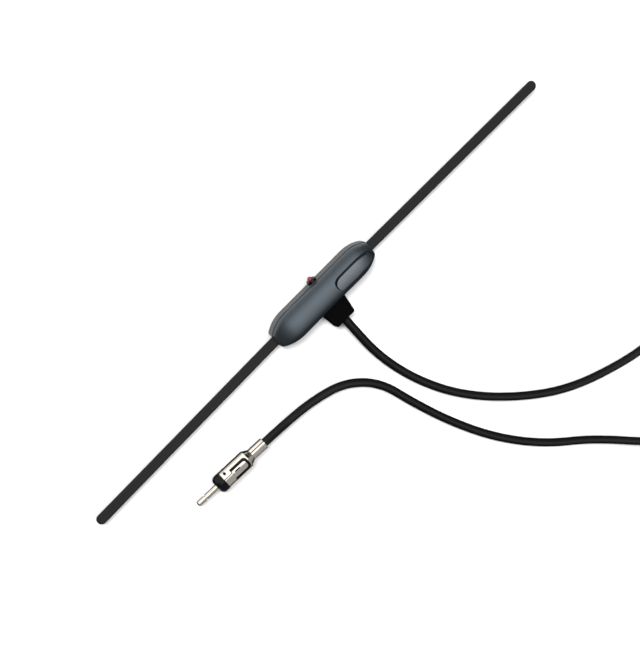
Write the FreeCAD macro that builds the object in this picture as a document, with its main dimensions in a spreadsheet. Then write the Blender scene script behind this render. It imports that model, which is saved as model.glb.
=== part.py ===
import FreeCAD, Part
import math
import os
import re

import Sketcher

# Car windshield radio antenna: a slim housing that sticks to the glass, two flat flexible arms,
# a small amplifier inside, and a coaxial cable that ends in a car radio plug.
# Frame: X along the arms, Z away from the glass, Y across. The cable leaves towards -Y.
# The origin is the centre of the adhesive face, and the cable and plug lie on the plane Z = 0.
# All lengths are in millimetres and all angles in degrees.

SIZES = {
    # Housing seen from above: straight long sides, curved corners and flat ends
    "housing_length": 74.0,
    "housing_width": 18.0,
    "housing_end_width": 9.5,
    "housing_corner_length": 12.9,
    "housing_end_rounding": 1.7,
    # Adhesive foam pad under the base
    "pad_thickness": 1.0,
    "pad_margin": 1.3,
    # Base tub
    "base_height": 6.4,
    "base_wall": 1.6,
    "base_floor": 1.4,
    "base_edge_rounding": 0.6,
    "base_rim_rounding": 0.3,
    # Domed cover, which stands off the rim by a shadow gap
    "cover_inset": 0.45,
    "shadow_gap": 0.45,
    "cover_rise": 6.7,
    "cover_end_rise": 2.9,
    "cover_fall_length": 15.5,
    "cover_wall": 2.2,
    "cover_end_rounding": 1.3,
    "lip_height": 1.0,
    "lip_thickness": 0.8,
    "lip_root": 0.9,
    # Bare recess in the cover's right half: a flat bed that falls away from the cable's side,
    # and a sloped wall where it ends towards the lamp's side
    "recess_start": 6.3,
    "recess_width": 7.1,
    "recess_shift": 0.85,
    "recess_depth": 1.45,
    "recess_tilt": 5.5,
    "recess_wall_slope": 40.0,
    "recess_wall_reach": 2.4,
    "recess_corner": 3.4,
    "recess_margin": 2.7,
    # Clearances: between moulded pieces, and round pins, wires and strips
    "fit_clearance": 0.15,
    "snug_clearance": 0.05,
    # Arms: a steel strip in a moulded sheath, turned a little about its screw
    "arm_reach": 137.5,
    "arm_width": 5.8,
    "arm_thickness": 2.1,
    "arm_edge_rounding": 0.8,
    "arm_tip_flat": 0.1,
    "arm_entry": 2.0,
    "arm_sweep": 0.55,
    "arm_screw_inset": 10.3,
    "strip_width": 3.4,
    "strip_thickness": 0.5,
    "strip_end_cover": 4.3,
    "strip_tab": 3.4,
    # Circuit board on posts moulded in the base
    "board_end_gap": 6.9,
    "board_thickness": 1.0,
    "board_standoff": 1.1,
    "board_side_gap": 1.5,
    "board_hole_gap": 0.4,
    "board_notch_depth": 2.5,
    "board_notch_gap": 0.6,
    "board_rest_diameter": 2.0,
    "board_rest_spacing": 20.6,
    "board_rest_margin": 1.5,
    # Screws
    "cover_screw_spacing": 34.4,
    "cover_screw_diameter": 2.2,
    "cover_screw_length": 7.0,
    "cover_screw_head_diameter": 4.0,
    "cover_screw_head_height": 1.2,
    "cover_screw_sink": 1.4,
    "cover_boss_diameter": 4.4,
    "base_boss_diameter": 5.8,
    "arm_screw_diameter": 2.0,
    "arm_screw_length": 3.4,
    "arm_screw_head_diameter": 3.2,
    "arm_screw_head_height": 1.2,
    "arm_post_diameter": 4.2,
    "screw_slot_width": 0.6,
    "screw_slot_depth": 0.6,
    # Pilot lamp and its bezel
    "lamp_diameter": 3.0,
    "lamp_projection": 3.6,
    "lamp_tip_flat": 0.1,
    "lamp_flange_diameter": 3.8,
    "lamp_flange_thickness": 0.9,
    "lamp_lead_diameter": 0.5,
    "lamp_lead_spacing": 2.54,
    "lamp_lead_length": 3.5,
    "bezel_diameter": 5.8,
    "bezel_projection": 1.8,
    "bezel_rounding": 0.5,
    "bezel_neck_diameter": 4.5,
    "bezel_tail": 0.4,
    # Cable boot: a tapered block outside, a neck in the wall and a flange inside
    "boot_root_width": 16.7,
    "boot_end_width": 13.9,
    "boot_length": 11.1,
    "boot_height": 6.7,
    "boot_corner_rounding": 1.5,
    "boot_edge_rounding": 0.8,
    "boot_neck_width": 10.3,
    "boot_flange_width": 12.9,
    "boot_flange_thickness": 1.0,
    # Coaxial cable
    "cable_diameter": 5.0,
    "braid_diameter": 3.6,
    "braid_length": 0.9,
    "braid_fold": 0.4,
    "core_diameter": 2.6,
    "core_length": 1.9,
    "wire_diameter": 0.6,
    "wire_length": 4.6,
    "wire_lift": 0.25,
    # Tied coil of the cable's spare length: two layers of turns side by side
    "coil_mean_radius": 28.6,
    "coil_across": 22.0,
    "coil_layers": 2.0,
    "coil_rounding": 2.0,
    "coil_stub": 21.0,
    "tie_thickness": 1.2,
    "tie_width": 3.6,
    "tie_head": 5.2,
    # Parts on the board, and the space kept between them
    "part_gap": 0.5,
    "capacitor_diameter": 5.0,
    "capacitor_height": 6.4,
    "capacitor_groove": 0.4,
    "choke_diameter": 3.6,
    "choke_height": 4.2,
    "choke_flange": 0.8,
    "choke_strip_gap": 0.3,
    "choke_waist_diameter": 2.0,
    "winding_gap": 0.1,
    "can_side": 5.8,
    "can_height": 6.0,
    "can_rounding": 0.6,
    "can_port_diameter": 3.0,
    "can_port_depth": 1.2,
    "transistor_width": 4.2,
    "transistor_depth": 3.2,
    "transistor_height": 4.0,
    "chip_length": 2.0,
    "chip_width": 1.25,
    "chip_height": 0.6,
    # Plug: rolled sheet shell, insulator and pin
    "barrel_diameter": 10.8,
    "barrel_length": 17.3,
    "shell_sheet": 0.45,
    "shoulder_length": 3.3,
    "tail_length": 9.5,
    "insulator_nose": 5.4,
    "insulator_depth": 16.5,
    "insulator_rounding": 2.8,
    "pin_diameter": 3.4,
    "pin_length": 14.2,
    "pin_root": 8.8,
    "pin_nose_rounding": 1.0,
    "pin_groove_distance": 5.2,
    "pin_groove_width": 1.0,
    "pin_groove_depth": 0.45,
    "pin_bore": 1.1,
    "window_start": 5.4,
    "window_length": 11.4,
    "window_width": 7.2,
    "window_slot": 1.5,
    "window_corner": 2.2,
    "tongue_slit_distance": 1.9,
    "tongue_slit_length": 3.9,
    "tongue_slit_width": 0.7,
    "tongue_slit_offset": 1.0,
    "seam_width": 0.5,
    "front_seam_offset": 1.45,
    "tail_seam_offset": 1.8,
    "punch_diameter": 1.6,
    "punch_distance": 2.3,
    "punch_offset": 3.8,
}

# Where the plug lies: the rear end of its tail, the way its pin points from +X, and its roll
PLUG_TAIL = (-80.8, -37.9)
PLUG_HEADING = 177.2
PLUG_ROLL = 6.5

# Where the spare cable's coil lies, the way the cable runs in, and the way it runs out
COIL_CENTRE = (153.5, -219.5)
COIL_HEADING_IN = -10.0
COIL_HEADING_OUT = 150.0
TIE_ANGLE = -30.0

# Share of the shorter run that each bend of the cable takes up
BEND_SHARE = 0.45

doc = FreeCAD.newDocument("windshield_antenna")
sheet = doc.addObject("Spreadsheet::Sheet", "Sizes")
for row, (size_name, size_value) in enumerate(SIZES.items(), start=1):
    sheet.set(f"A{row}", size_name)
    sheet.set(f"B{row}", str(size_value))
    sheet.setAlias(f"B{row}", size_name)
doc.recompute()

WORD = re.compile(r"[a-z][a-z_]*")
V = FreeCAD.Vector
nodes = []


# Formulas: text with the words of the size table


def formula(text):
    """The text with each size written as a reference to the sheet."""
    return WORD.sub(lambda word: f"Sizes.{word[0]}" if word[0] in SIZES else word[0], text)


def number(text):
    return float(sheet.evalExpression(formula(text)))


def bind(thing, field, text):
    thing.setExpression(field, formula(text))


HALF_LENGTH = "(housing_length / 2)"
HALF_WIDTH = "(housing_width / 2)"
CORNER_START = f"({HALF_LENGTH} - housing_corner_length)"
CORNER_DEPTH = "((housing_width - housing_end_width) / 2)"
CORNER_RADIUS = f"((housing_corner_length ^ 2 + {CORNER_DEPTH} ^ 2) / (2 * {CORNER_DEPTH}))"
FLOOR_TOP = "(pad_thickness + base_floor)"
RIM = "(pad_thickness + base_height)"
COVER_EDGE = f"({RIM} + shadow_gap)"
COVER_END = f"({HALF_LENGTH} - cover_inset)"
FALL_START = f"({HALF_LENGTH} - cover_fall_length)"
BOARD_UNDERSIDE = f"({FLOOR_TOP} + board_standoff)"
BOARD_TOP = f"({BOARD_UNDERSIDE} + board_thickness)"
BOARD_EDGE = f"({HALF_WIDTH} - base_wall - board_side_gap)"
ARM_LEVEL = f"({BOARD_TOP} + strip_thickness / 2)"
ARM_SCREW_X = f"({HALF_LENGTH} - arm_screw_inset)"
CHOKE_X = f"(({ARM_SCREW_X} + cover_screw_spacing / 2) / 2)"
LAMP_LEVEL = f"({BOARD_TOP} + lamp_lead_diameter / 2)"
LAMP_TAIL = "(base_wall + bezel_tail + lamp_flange_thickness)"
CABLE_LEVEL = f"({BOARD_TOP} + wire_lift + wire_diameter / 2)"
BOSS_HOLE = "(cover_boss_diameter / 2 + board_hole_gap)"
NOTCH_HALF = "(cable_diameter / 2 + board_notch_gap)"
CABLE_IN = f"({HALF_WIDTH} - base_wall - boot_flange_thickness - 1)"
PLUG_LEVEL = "(barrel_diameter / 2)"
TAIL_BORE = "(cable_diameter / 2 + braid_fold + 2 * snug_clearance)"
TAIL_RADIUS = f"({TAIL_BORE} + shell_sheet)"
SHELL_LENGTH = "(tail_length + shoulder_length + barrel_length)"


# Sketch outlines


def place_point(sketch, element, end, x, y):
    """Holds one point of the sketch at the coordinates that two formulas give."""
    for kind, axis, text in (("DistanceX", -2, x), ("DistanceY", -1, y)):
        if text is None:
            continue
        value = number(text)
        if abs(value) < 1e-9:
            sketch.addConstraint(Sketcher.Constraint("PointOnObject", element, end, axis))
        elif value > 0:
            index = sketch.addConstraint(Sketcher.Constraint(kind, -1, 1, element, end, value))
            bind(sketch, f"Constraints[{index}]", text)
        else:
            index = sketch.addConstraint(Sketcher.Constraint(kind, element, end, -1, 1, -value))
            bind(sketch, f"Constraints[{index}]", f"-({text})")


def hold_radius(sketch, element, text):
    index = sketch.addConstraint(Sketcher.Constraint("Radius", element, number(text)))
    bind(sketch, f"Constraints[{index}]", text)


def draw_circle(sketch, x, y, diameter):
    round_line = Part.Circle(V(number(x), number(y), 0), V(0, 0, 1), number(diameter) / 2)
    element = sketch.addGeometry(round_line)
    place_point(sketch, element, 3, x, y)
    hold_radius(sketch, element, f"({diameter}) / 2")


def draw_polygon(sketch, corners):
    """A closed outline of straight lines through corners given as pairs of formulas."""
    points = [V(number(x), number(y), 0) for x, y in corners]
    first = sketch.GeometryCount
    for start, end in zip(points, points[1:] + points[:1]):
        sketch.addGeometry(Part.LineSegment(start, end))
    for index, (x, y) in enumerate(corners):
        following = first + (index + 1) % len(corners)
        sketch.addConstraint(Sketcher.Constraint("Coincident", first + index, 2, following, 1))
        place_point(sketch, first + index, 1, x, y)


def draw_square(sketch, corners):
    """A closed outline of level and upright lines. A corner is x, y and, if rounded, its radius."""
    points = [V(number(corner[0]), number(corner[1]), 0) for corner in corners]
    radii = [number(corner[2]) if len(corner) > 2 else 0.0 for corner in corners]
    count = len(corners)
    ways = [(points[(i + 1) % count] - points[i]).normalize() for i in range(count)]
    first = sketch.GeometryCount
    for i in range(count):
        following = (i + 1) % count
        start = points[i] + ways[i] * radii[i]
        end = points[following] - ways[i] * radii[following]
        sketch.addGeometry(Part.LineSegment(start, end))
        upright = abs(ways[i].x) < abs(ways[i].y)
        sketch.addConstraint(Sketcher.Constraint("Vertical" if upright else "Horizontal", first + i))
        x, y = corners[i][:2]
        place_point(sketch, first + i, 1, x if upright else None, None if upright else y)
    for i in range(count):
        before = first + (i - 1) % count
        if not radii[i]:
            sketch.addConstraint(Sketcher.Constraint("Coincident", before, 2, first + i, 1))
            continue
        inward = ways[i] - ways[i - 1]
        centre = points[i] + inward * radii[i]
        entry = points[i] - ways[i - 1] * radii[i] - centre
        leaving = points[i] + ways[i] * radii[i] - centre
        turns_left = ways[i - 1].cross(ways[i]).z > 0
        begin, finish = (entry, leaving) if turns_left else (leaving, entry)
        angle = math.atan2(begin.y, begin.x)
        bend = Part.ArcOfCircle(Part.Circle(centre, V(0, 0, 1), radii[i]), angle, angle + math.pi / 2)
        arc = sketch.addGeometry(bend)
        entry_end, leaving_end = (1, 2) if turns_left else (2, 1)
        sketch.addConstraint(Sketcher.Constraint("Tangent", before, 2, arc, entry_end))
        sketch.addConstraint(Sketcher.Constraint("Tangent", arc, leaving_end, first + i, 1))
        hold_radius(sketch, arc, corners[i][2])


def rectangle(x_low, x_high, y_low, y_high, *rounding):
    places = ((x_low, y_low), (x_high, y_low), (x_high, y_high), (x_low, y_high))
    return [(x, y, *rounding) for x, y in places]


def draw_hull(sketch, inset, half_length):
    """The housing's outline from above, moved inwards and cut off at a half length."""
    radius = f"({CORNER_RADIUS} - ({inset}))"
    side = f"({HALF_WIDTH} - ({inset}))"
    x_start, y_side = number(CORNER_START), number(side)
    r, x_end = number(radius), number(half_length)
    y_centre = y_side - r
    swing = math.acos((x_end - x_start) / r)
    y_end = y_centre + r * math.sin(swing)
    turn = math.pi

    def corner(sx, sy, begin, finish):
        ring = Part.Circle(V(sx * x_start, sy * y_centre, 0), V(0, 0, 1), r)
        return Part.ArcOfCircle(ring, begin, finish)

    lines = [
        Part.LineSegment(V(x_end, -y_end, 0), V(x_end, y_end, 0)),
        corner(1, 1, swing, turn / 2),
        Part.LineSegment(V(x_start, y_side, 0), V(-x_start, y_side, 0)),
        corner(-1, 1, turn / 2, turn - swing),
        Part.LineSegment(V(-x_end, y_end, 0), V(-x_end, -y_end, 0)),
        corner(-1, -1, turn + swing, 1.5 * turn),
        Part.LineSegment(V(-x_start, -y_side, 0), V(x_start, -y_side, 0)),
        corner(1, -1, 1.5 * turn, 2 * turn - swing),
    ]
    for line in lines:
        sketch.addGeometry(line)
    for here, joint in enumerate(("Coincident", "Tangent", "Tangent", "Coincident") * 2):
        sketch.addConstraint(Sketcher.Constraint(joint, here, 2, (here + 1) % 8, 1))
    for line in (0, 4):
        sketch.addConstraint(Sketcher.Constraint("Vertical", line))
    for line in (2, 6):
        sketch.addConstraint(Sketcher.Constraint("Horizontal", line))
    place_point(sketch, 0, 1, half_length, None)
    place_point(sketch, 4, 1, f"-({half_length})", None)
    place_point(sketch, 2, 1, None, side)
    place_point(sketch, 6, 1, None, f"-{side}")
    for arc, sign in ((1, ""), (3, "-"), (5, "-"), (7, "")):
        hold_radius(sketch, arc, radius)
        place_point(sketch, arc, 3, f"{sign}{CORNER_START}", None)


# Bodies and features


def new_body(name):
    return doc.addObject("PartDesign::Body", name)


def new_sketch(body, name, plane, shift="0"):
    sketch = body.newObject("Sketcher::SketchObject", name)
    support = next(feature for feature in body.Origin.OriginFeatures if feature.Role == plane)
    sketch.AttachmentSupport = [(support, "")]
    sketch.MapMode = "FlatFace"
    bind(sketch, "AttachmentOffset.Base.z", shift)
    return sketch


def add_feature(body, kind, sketch, length, both_ways=False, backwards=False):
    """A pad or a pocket of a sketch. A pocket that leaves the volume as it was is an error."""
    doc.recompute()
    before = body.Shape.Volume if kind == "Pocket" else 0.0
    feature = body.newObject(f"PartDesign::{kind}", f"{sketch.Name}_{kind.lower()}")
    feature.Profile = sketch
    feature.SideType = "Symmetric" if both_ways else "One side"
    feature.Reversed = backwards
    bind(feature, "Length", length)
    doc.recompute()
    if kind == "Pocket" and body.Shape.Volume > before - 1e-6:
        raise ValueError(f"{feature.Name} cuts nothing")
    return feature


def round_edges(body, radius, test):
    """Rounds the edges of the body so far that pass the test."""
    doc.recompute()
    base = body.Tip
    names = [f"Edge{i}" for i, edge in enumerate(base.Shape.Edges, start=1) if test(edge)]
    fillet = body.newObject("PartDesign::Fillet", f"{body.Name}_rounding")
    fillet.Base = (base, names)
    bind(fillet, "Radius", radius)
    doc.recompute()
    return fillet


def box_of(edge):
    return edge.BoundBox


def is_upright(edge):
    box = box_of(edge)
    return box.ZLength > 1e-6 and box.XLength < 1e-6 and box.YLength < 1e-6


def lies_at_height(edge, height):
    box = box_of(edge)
    return abs(box.ZMin - height) < 1e-6 and abs(box.ZMax - height) < 1e-6


def turned_body(name, profile):
    """A body turned about its own Z axis. The profile is pairs of radius and height."""
    body = new_body(name)
    sketch = new_sketch(body, f"{name}_profile", "XZ_Plane")
    draw_polygon(sketch, profile)
    turn = body.newObject("PartDesign::Revolution", f"{name}_turn")
    turn.Profile = sketch
    turn.ReferenceAxis = (sketch, ["V_Axis"])
    turn.Angle = 360
    doc.recompute()
    return body


def put(thing, x, y, z, rotation=FreeCAD.Rotation()):
    thing.Placement = FreeCAD.Placement(V(0, 0, 0), rotation)
    for field, text in (("x", x), ("y", y), ("z", z)):
        bind(thing, f"Placement.Base.{field}", text)
    return thing


def primitive(kind, name, x, y, z, rotation=FreeCAD.Rotation(), **sizes):
    solid = doc.addObject(f"Part::{kind}", name)
    for field, text in sizes.items():
        bind(solid, field, text)
    return put(solid, x, y, z, rotation)


def prism(name, level, height, draw, *details):
    """A straight extrusion of an outline, upwards from a level."""
    sketch = doc.addObject("Sketcher::SketchObject", f"{name}_outline")
    put(sketch, "0", "0", level)
    draw(sketch, *details)
    solid = doc.addObject("Part::Extrusion", name)
    solid.Base = sketch
    solid.DirMode = "Normal"
    solid.Solid = True
    bind(solid, "LengthFwd", height)
    return solid


def join(name, *pieces):
    solid = doc.addObject("Part::MultiFuse", name)
    solid.Shapes = list(pieces)
    return solid


def take_away(name, base, tool):
    solid = doc.addObject("Part::Cut", name)
    solid.Base = base
    solid.Tool = tool
    return solid


def group(name, *pieces):
    """Like pieces that share one node as separate solids."""
    compound = doc.addObject("Part::Compound", name)
    compound.Links = list(pieces)
    return compound


def keep(thing, label):
    thing.Label = label
    nodes.append(thing)
    return thing


ALONG_Y = FreeCAD.Rotation(V(1, 0, 0), -90)
AGAINST_Y = FreeCAD.Rotation(V(1, 0, 0), 90)
UPSIDE_DOWN = FreeCAD.Rotation(V(1, 0, 0), 180)
ACROSS = FreeCAD.Rotation(V(1, 1, 1), 120)
SIDES = (("right", "", 0), ("left", "-", 180))


# Adhesive pad and base tub


def make_pad():
    body = new_body("adhesive_pad")
    sketch = new_sketch(body, "pad_outline", "XY_Plane")
    draw_hull(sketch, "pad_margin", f"{HALF_LENGTH} - pad_margin")
    add_feature(body, "Pad", sketch, "pad_thickness")
    round_edges(body, "housing_end_rounding", is_upright)
    keep(body, "adhesive_pad")


def make_base():
    body = new_body("housing_base")
    sketch = new_sketch(body, "base_outline", "XY_Plane", "pad_thickness")
    draw_hull(sketch, "0", HALF_LENGTH)
    add_feature(body, "Pad", sketch, "base_height")
    end = number(HALF_LENGTH)
    round_edges(body, "housing_end_rounding",
                lambda edge: is_upright(edge) and abs(box_of(edge).Center.x) > end - 1e-3)
    round_edges(body, "base_edge_rounding", lambda edge: lies_at_height(edge, number("pad_thickness")))
    round_edges(body, "base_rim_rounding", lambda edge: lies_at_height(edge, number(RIM)))

    hollow = new_sketch(body, "base_hollow", "XY_Plane", RIM)
    draw_hull(hollow, "base_wall", f"{HALF_LENGTH} - base_wall")
    add_feature(body, "Pocket", hollow, "base_height - base_floor")

    arm_slots = new_sketch(body, "arm_slots", "YZ_Plane")
    half_slot = "(arm_width / 2 + fit_clearance)"
    half_gap = "(arm_thickness / 2 + fit_clearance)"
    draw_square(arm_slots, rectangle(f"-{half_slot}", half_slot, f"{ARM_LEVEL} - {half_gap}",
                                     f"{ARM_LEVEL} + {half_gap}", "arm_edge_rounding"))
    add_feature(body, "Pocket", arm_slots, "housing_length * 2", both_ways=True)

    lamp_hole = new_sketch(body, "lamp_hole", "XZ_Plane")
    draw_circle(lamp_hole, "0", LAMP_LEVEL, "bezel_neck_diameter + 2 * snug_clearance")
    add_feature(body, "Pocket", lamp_hole, "housing_width")

    boot_notch = new_sketch(body, "boot_notch", "XZ_Plane")
    half_notch = "(boot_neck_width / 2 + fit_clearance)"
    draw_square(boot_notch, rectangle(f"-{half_notch}", half_notch, FLOOR_TOP, f"{RIM} + base_wall"))
    add_feature(body, "Pocket", boot_notch, "housing_width", backwards=True)

    posts = new_sketch(body, "base_posts", "XY_Plane", FLOOR_TOP)
    for _, sign, _ in SIDES:
        draw_circle(posts, f"{sign}cover_screw_spacing / 2", "0", "base_boss_diameter")
        draw_circle(posts, f"{sign}{ARM_SCREW_X}", "0", "arm_post_diameter")
        for across in ("", "-"):
            y = f"{across}({BOARD_EDGE} - board_rest_margin)"
            draw_circle(posts, f"{sign}board_rest_spacing / 2", y, "board_rest_diameter")
    add_feature(body, "Pad", posts, "board_standoff")

    sinks = new_sketch(body, "screw_sinks", "XY_Plane", "pad_thickness")
    holes = new_sketch(body, "screw_holes", "XY_Plane", "pad_thickness")
    pilots = new_sketch(body, "arm_pilots", "XY_Plane", BOARD_UNDERSIDE)
    for _, sign, _ in SIDES:
        x = f"{sign}cover_screw_spacing / 2"
        draw_circle(sinks, x, "0", "cover_screw_head_diameter + 2 * fit_clearance")
        draw_circle(holes, x, "0", "cover_screw_diameter + 2 * fit_clearance")
        draw_circle(pilots, f"{sign}{ARM_SCREW_X}", "0", "arm_screw_diameter")
    add_feature(body, "Pocket", sinks, "cover_screw_sink", backwards=True)
    add_feature(body, "Pocket", holes, "base_floor + board_standoff", backwards=True)
    add_feature(body, "Pocket", pilots, "arm_screw_length - strip_thickness - board_thickness")
    keep(body, "housing_base")


# Cover: lofted dome, hollow, with a lip, screw bosses and the bare recess


def crown_rise(x):
    fall = f"max(0; ({x} - {FALL_START}) / ({COVER_END} - {FALL_START}))"
    return f"(cover_rise - (cover_rise - cover_end_rise) * pow({fall}; 2.5))"


def make_dome(name, depth, spread="0"):
    """The cover's crown, moved inwards by a depth, as a loft of ellipses along X.

    A spread widens each ellipse, so that a large one leaves the crown nearly flat across.
    """
    inset = f"(cover_inset + {depth})"
    end = f"({HALF_LENGTH} - {inset})"
    full_width = f"({HALF_WIDTH} - {inset})"
    stations = [("0", full_width), (f"{CORNER_START} / 2", full_width)]
    for share in (0, 0.3, 0.55, 0.78, 1):
        x = f"({CORNER_START} + {share} * ({end} - {CORNER_START}))"
        reach = f"sqrt(({CORNER_RADIUS} - {inset}) ^ 2 - ({x} - {CORNER_START}) ^ 2)"
        stations.append((x, f"({HALF_WIDTH} - {CORNER_RADIUS} + {reach})"))
    ordered = [("-", x, w) for x, w in reversed(stations[1:])] + [("", x, w) for x, w in stations]
    sections = []
    for index, (sign, x, half_width) in enumerate(ordered):
        sections.append(primitive("Ellipse", f"{name}_section_{index}", f"{sign}{x}", "0", COVER_EDGE,
                                  ACROSS, MajorRadius=f"{half_width} + {spread}",
                                  MinorRadius=f"{crown_rise(x)} - {depth}"))
    loft = doc.addObject("Part::Loft", name)
    loft.Sections = sections
    loft.Solid = True
    return loft


def make_cover():
    crown = make_dome("crown", "0")
    hollow = make_dome("crown_hollow", "cover_wall")
    recess_bed = make_dome("recess_bed", "recess_depth", "4 * housing_width")
    recess_bed.Placement = FreeCAD.Placement(V(0, 0, 0), FreeCAD.Rotation(V(1, 0, 0), -number("recess_tilt")))
    doc.recompute()
    outer = doc.addObject("Part::Fillet", "crown_rounded")
    outer.Base = crown
    radius = number("cover_end_rounding")
    limit = number(COVER_END) - 1e-3
    outer.Edges = [(i, radius, radius) for i, edge in enumerate(crown.Shape.Edges, start=1)
                   if box_of(edge).XMin > limit or box_of(edge).XMax < -limit]
    below = primitive("Box", "below_cover", "-housing_length", "-housing_width",
                      f"{COVER_EDGE} - 2 * cover_rise", Length="2 * housing_length",
                      Width="2 * housing_width", Height="2 * cover_rise")
    shell = take_away("cover_shell", outer, join("cover_inside", hollow, below))

    lip_inset = "(base_wall + fit_clearance)"
    lip_level = f"({RIM} - lip_height)"
    lip_total = f"({COVER_EDGE} + lip_root - {lip_level})"
    inner_inset = f"({lip_inset} + lip_thickness)"
    lip_outer, lip_inner = (prism(name, lip_level, lip_total, draw_hull, inset, f"{HALF_LENGTH} - {inset}")
                            for name, inset in (("lip_outer", lip_inset), ("lip_inner", inner_inset)))
    half_gap = "(boot_neck_width / 2 + fit_clearance)"
    lip_gap = primitive("Box", "lip_gap", f"-{half_gap}", "-housing_width", lip_level,
                        Length=f"2 * {half_gap}", Width="2 * housing_width",
                        Height=f"{COVER_EDGE} - {lip_level}")
    lip = take_away("lip", lip_outer, join("lip_cuts", lip_inner, lip_gap))

    boss_x = "(cover_screw_spacing / 2)"
    boss_top = f"({COVER_EDGE} + {crown_rise(boss_x)} - cover_wall / 2)"
    bosses, pilots = [], []
    for side, sign, _ in SIDES:
        bosses.append(primitive("Cylinder", f"cover_boss_{side}", f"{sign}{boss_x}", "0", BOARD_UNDERSIDE,
                                Radius="cover_boss_diameter / 2", Height=f"{boss_top} - {BOARD_UNDERSIDE}"))
        pilots.append(primitive("Cylinder", f"cover_pilot_{side}", f"{sign}{boss_x}", "0", BOARD_UNDERSIDE,
                                Radius="cover_screw_diameter / 2", Height="cover_screw_length"))

    slot_end = f"({HALF_LENGTH} + recess_width)"
    foot = "(recess_width / 2 - recess_shift)"
    slot = prism("recess_slot", COVER_EDGE, "2 * cover_rise", draw_square,
                 rectangle("recess_start", slot_end, "-recess_shift - recess_width / 2",
                           f"{foot} + recess_wall_reach", "recess_corner"))
    bed_at_foot = (f"({COVER_EDGE} + cover_rise - recess_depth - {foot} * sin(recess_tilt))"
                   " / cos(recess_tilt)")
    slope_turn = FreeCAD.Rotation(V(1, 0, 0), number("recess_wall_slope") - 90)
    wall_slope = primitive("Box", "recess_wall", "0", f"{foot} - recess_width * cos(recess_wall_slope)",
                           f"{bed_at_foot} - recess_width * sin(recess_wall_slope)", slope_turn,
                           Length="housing_length", Width="housing_width", Height="3 * recess_width")
    field = prism("recess_field", COVER_EDGE, "2 * cover_rise", draw_hull, "recess_margin",
                  f"{HALF_LENGTH} - recess_margin")
    window = doc.addObject("Part::Common", "recess_window")
    window.Base = slot
    window.Tool = field
    recess = take_away("recess", window, join("recess_floor", recess_bed, wall_slope))
    whole = join("cover_whole", shell, lip, *bosses)
    keep(take_away("housing_cover_solid", whole, join("cover_cuts", recess, *pilots)), "housing_cover")


# Arms


def make_arm(side, sign, heading):
    """One arm along its own X axis, from its screw, turned about that screw by the sweep."""
    turn = number("arm_sweep") if sign else -number("arm_sweep")
    rotation = FreeCAD.Rotation(V(0, 0, 1), heading + turn)
    start = "(arm_screw_inset - arm_entry)"
    tip = "(arm_screw_inset + arm_reach)"

    sheath = new_body(f"arm_sheath_{side}")
    plan = new_sketch(sheath, f"sheath_plan_{side}", "XY_Plane")
    tip_radius = "(arm_width / 2 - arm_tip_flat)"
    draw_square(plan, [(start, "-arm_width / 2"), (tip, "-arm_width / 2", tip_radius),
                       (tip, "arm_width / 2", tip_radius), (start, "arm_width / 2")])
    add_feature(sheath, "Pad", plan, "arm_thickness", both_ways=True)
    half = number("arm_thickness") / 2
    inner_end = number(start) + 1e-3
    round_edges(sheath, "arm_edge_rounding",
                lambda edge: (lies_at_height(edge, half) or lies_at_height(edge, -half))
                and box_of(edge).XMax > inner_end)
    pocket = new_sketch(sheath, f"sheath_pocket_{side}", "YZ_Plane", start)
    half_width = "(strip_width / 2 + snug_clearance)"
    half_depth = "(strip_thickness / 2 + snug_clearance)"
    draw_square(pocket, rectangle(f"-{half_width}", half_width, f"-{half_depth}", half_depth))
    add_feature(sheath, "Pocket", pocket, "arm_reach + arm_entry - strip_end_cover", backwards=True)

    strip = new_body(f"arm_strip_{side}")
    flat = new_sketch(strip, f"strip_plan_{side}", "XY_Plane")
    strip_end = f"({tip} - strip_end_cover - snug_clearance)"
    draw_square(flat, rectangle("-strip_tab", strip_end, "-strip_width / 2", "strip_width / 2"))
    add_feature(strip, "Pad", flat, "strip_thickness", both_ways=True)
    hole = new_sketch(strip, f"strip_hole_{side}", "XY_Plane")
    draw_circle(hole, "0", "0", "arm_screw_diameter + 2 * snug_clearance")
    add_feature(strip, "Pocket", hole, "2 * strip_thickness", both_ways=True)

    for piece in (sheath, strip):
        put(piece, f"{sign}{ARM_SCREW_X}", "0", ARM_LEVEL, rotation)
        keep(piece, piece.Name)


# Screws


def make_screw(name, which):
    """A screw along its own Z axis: head above zero, shank below, with a driving slot."""
    head, shank = f"{which}_screw_head_diameter / 2", f"{which}_screw_diameter / 2"
    top, tip = f"{which}_screw_head_height", f"-{which}_screw_length"
    body = turned_body(name, [("0", tip), (shank, tip), (shank, "0"), (head, "0"), (head, top), ("0", top)])
    slot = new_sketch(body, f"{name}_slot", "XY_Plane", top)
    draw_square(slot, rectangle(f"-{head}", head, "-screw_slot_width / 2", "screw_slot_width / 2"))
    add_feature(body, "Pocket", slot, "screw_slot_depth")
    return body


def make_screws():
    arm_screws = [put(make_screw(f"arm_screw_{side}", "arm"), f"{sign}{ARM_SCREW_X}", "0",
                      f"{BOARD_TOP} + strip_thickness") for side, sign, _ in SIDES]
    keep(group("arm_screws", *arm_screws), "arm_screws")
    cover_screws = [put(make_screw(f"cover_screw_{side}", "cover"), f"{sign}cover_screw_spacing / 2", "0",
                        "pad_thickness + cover_screw_sink", UPSIDE_DOWN) for side, sign, _ in SIDES]
    keep(group("cover_screws", *cover_screws), "cover_screws")


# Pilot lamp in the long wall


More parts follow.
